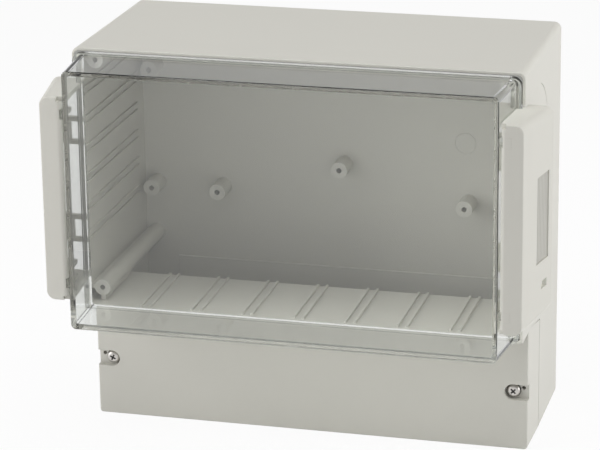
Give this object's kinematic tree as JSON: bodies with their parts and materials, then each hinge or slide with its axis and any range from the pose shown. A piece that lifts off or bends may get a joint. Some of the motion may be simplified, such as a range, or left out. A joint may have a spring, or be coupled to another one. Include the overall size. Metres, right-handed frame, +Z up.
{
  "type": "wall-mount enclosure",
  "caption": "Grey moulded wall-mount enclosure with a clear hinged front cover held by side clips, above a lower terminal cover fixed by captive screws.",
  "frame": {"origin": "centre of the four wall-fixing holes, on the flat back that lies on the wall", "axes": "+Y into the wall, +X to the right seen from the front, +Z up; the front faces -Y"},
  "size_m": [0.286, 0.1538, 0.228],
  "materials": {
    "housing": "light warm grey moulded thermoplastic, fine satin grain",
    "clear_cover": "clear polycarbonate, polished, see-through, faintly smoky at its edges",
    "seal": "dark soft foam and rubber",
    "steel": "zinc-plated steel",
    "insert_brass": "plain turned brass"
  },
  "bodies": {
    "housing": {"base": "housing", "cover_seal": "seal", "terminal_cover": "housing", "terminal_seal": "seal", "screw_right": "steel", "screw_left": "steel", "washer_right": "seal", "washer_left": "seal", "insert_right": "insert_brass", "insert_left": "insert_brass"},
    "front_cover": {"cover": "clear_cover"},
    "right_clip": {"clip_right": "housing", "clip_pins_right": "steel"},
    "left_clip": {"clip_left": "housing", "clip_pins_left": "steel"}
  },
  "joints": [
    {"name": "cover_hinge", "type": "hinge", "parent": "housing", "child": "front_cover", "pos_m": [-0.1345, -0.114, 0.03675], "axis": [0, 0, -1], "range_deg": [0, 90]},
    {"name": "right_clip_hinge", "type": "hinge", "parent": "front_cover", "child": "right_clip", "pos_m": [0.12519, -0.1512, 0.03675], "axis": [0, 0, -1], "range_deg": [0, 35]},
    {"name": "left_clip_hinge", "type": "hinge", "parent": "front_cover", "child": "left_clip", "pos_m": [-0.12519, -0.1512, 0.03675], "axis": [0, 0, 1], "range_deg": [0, 35]}
  ]
}
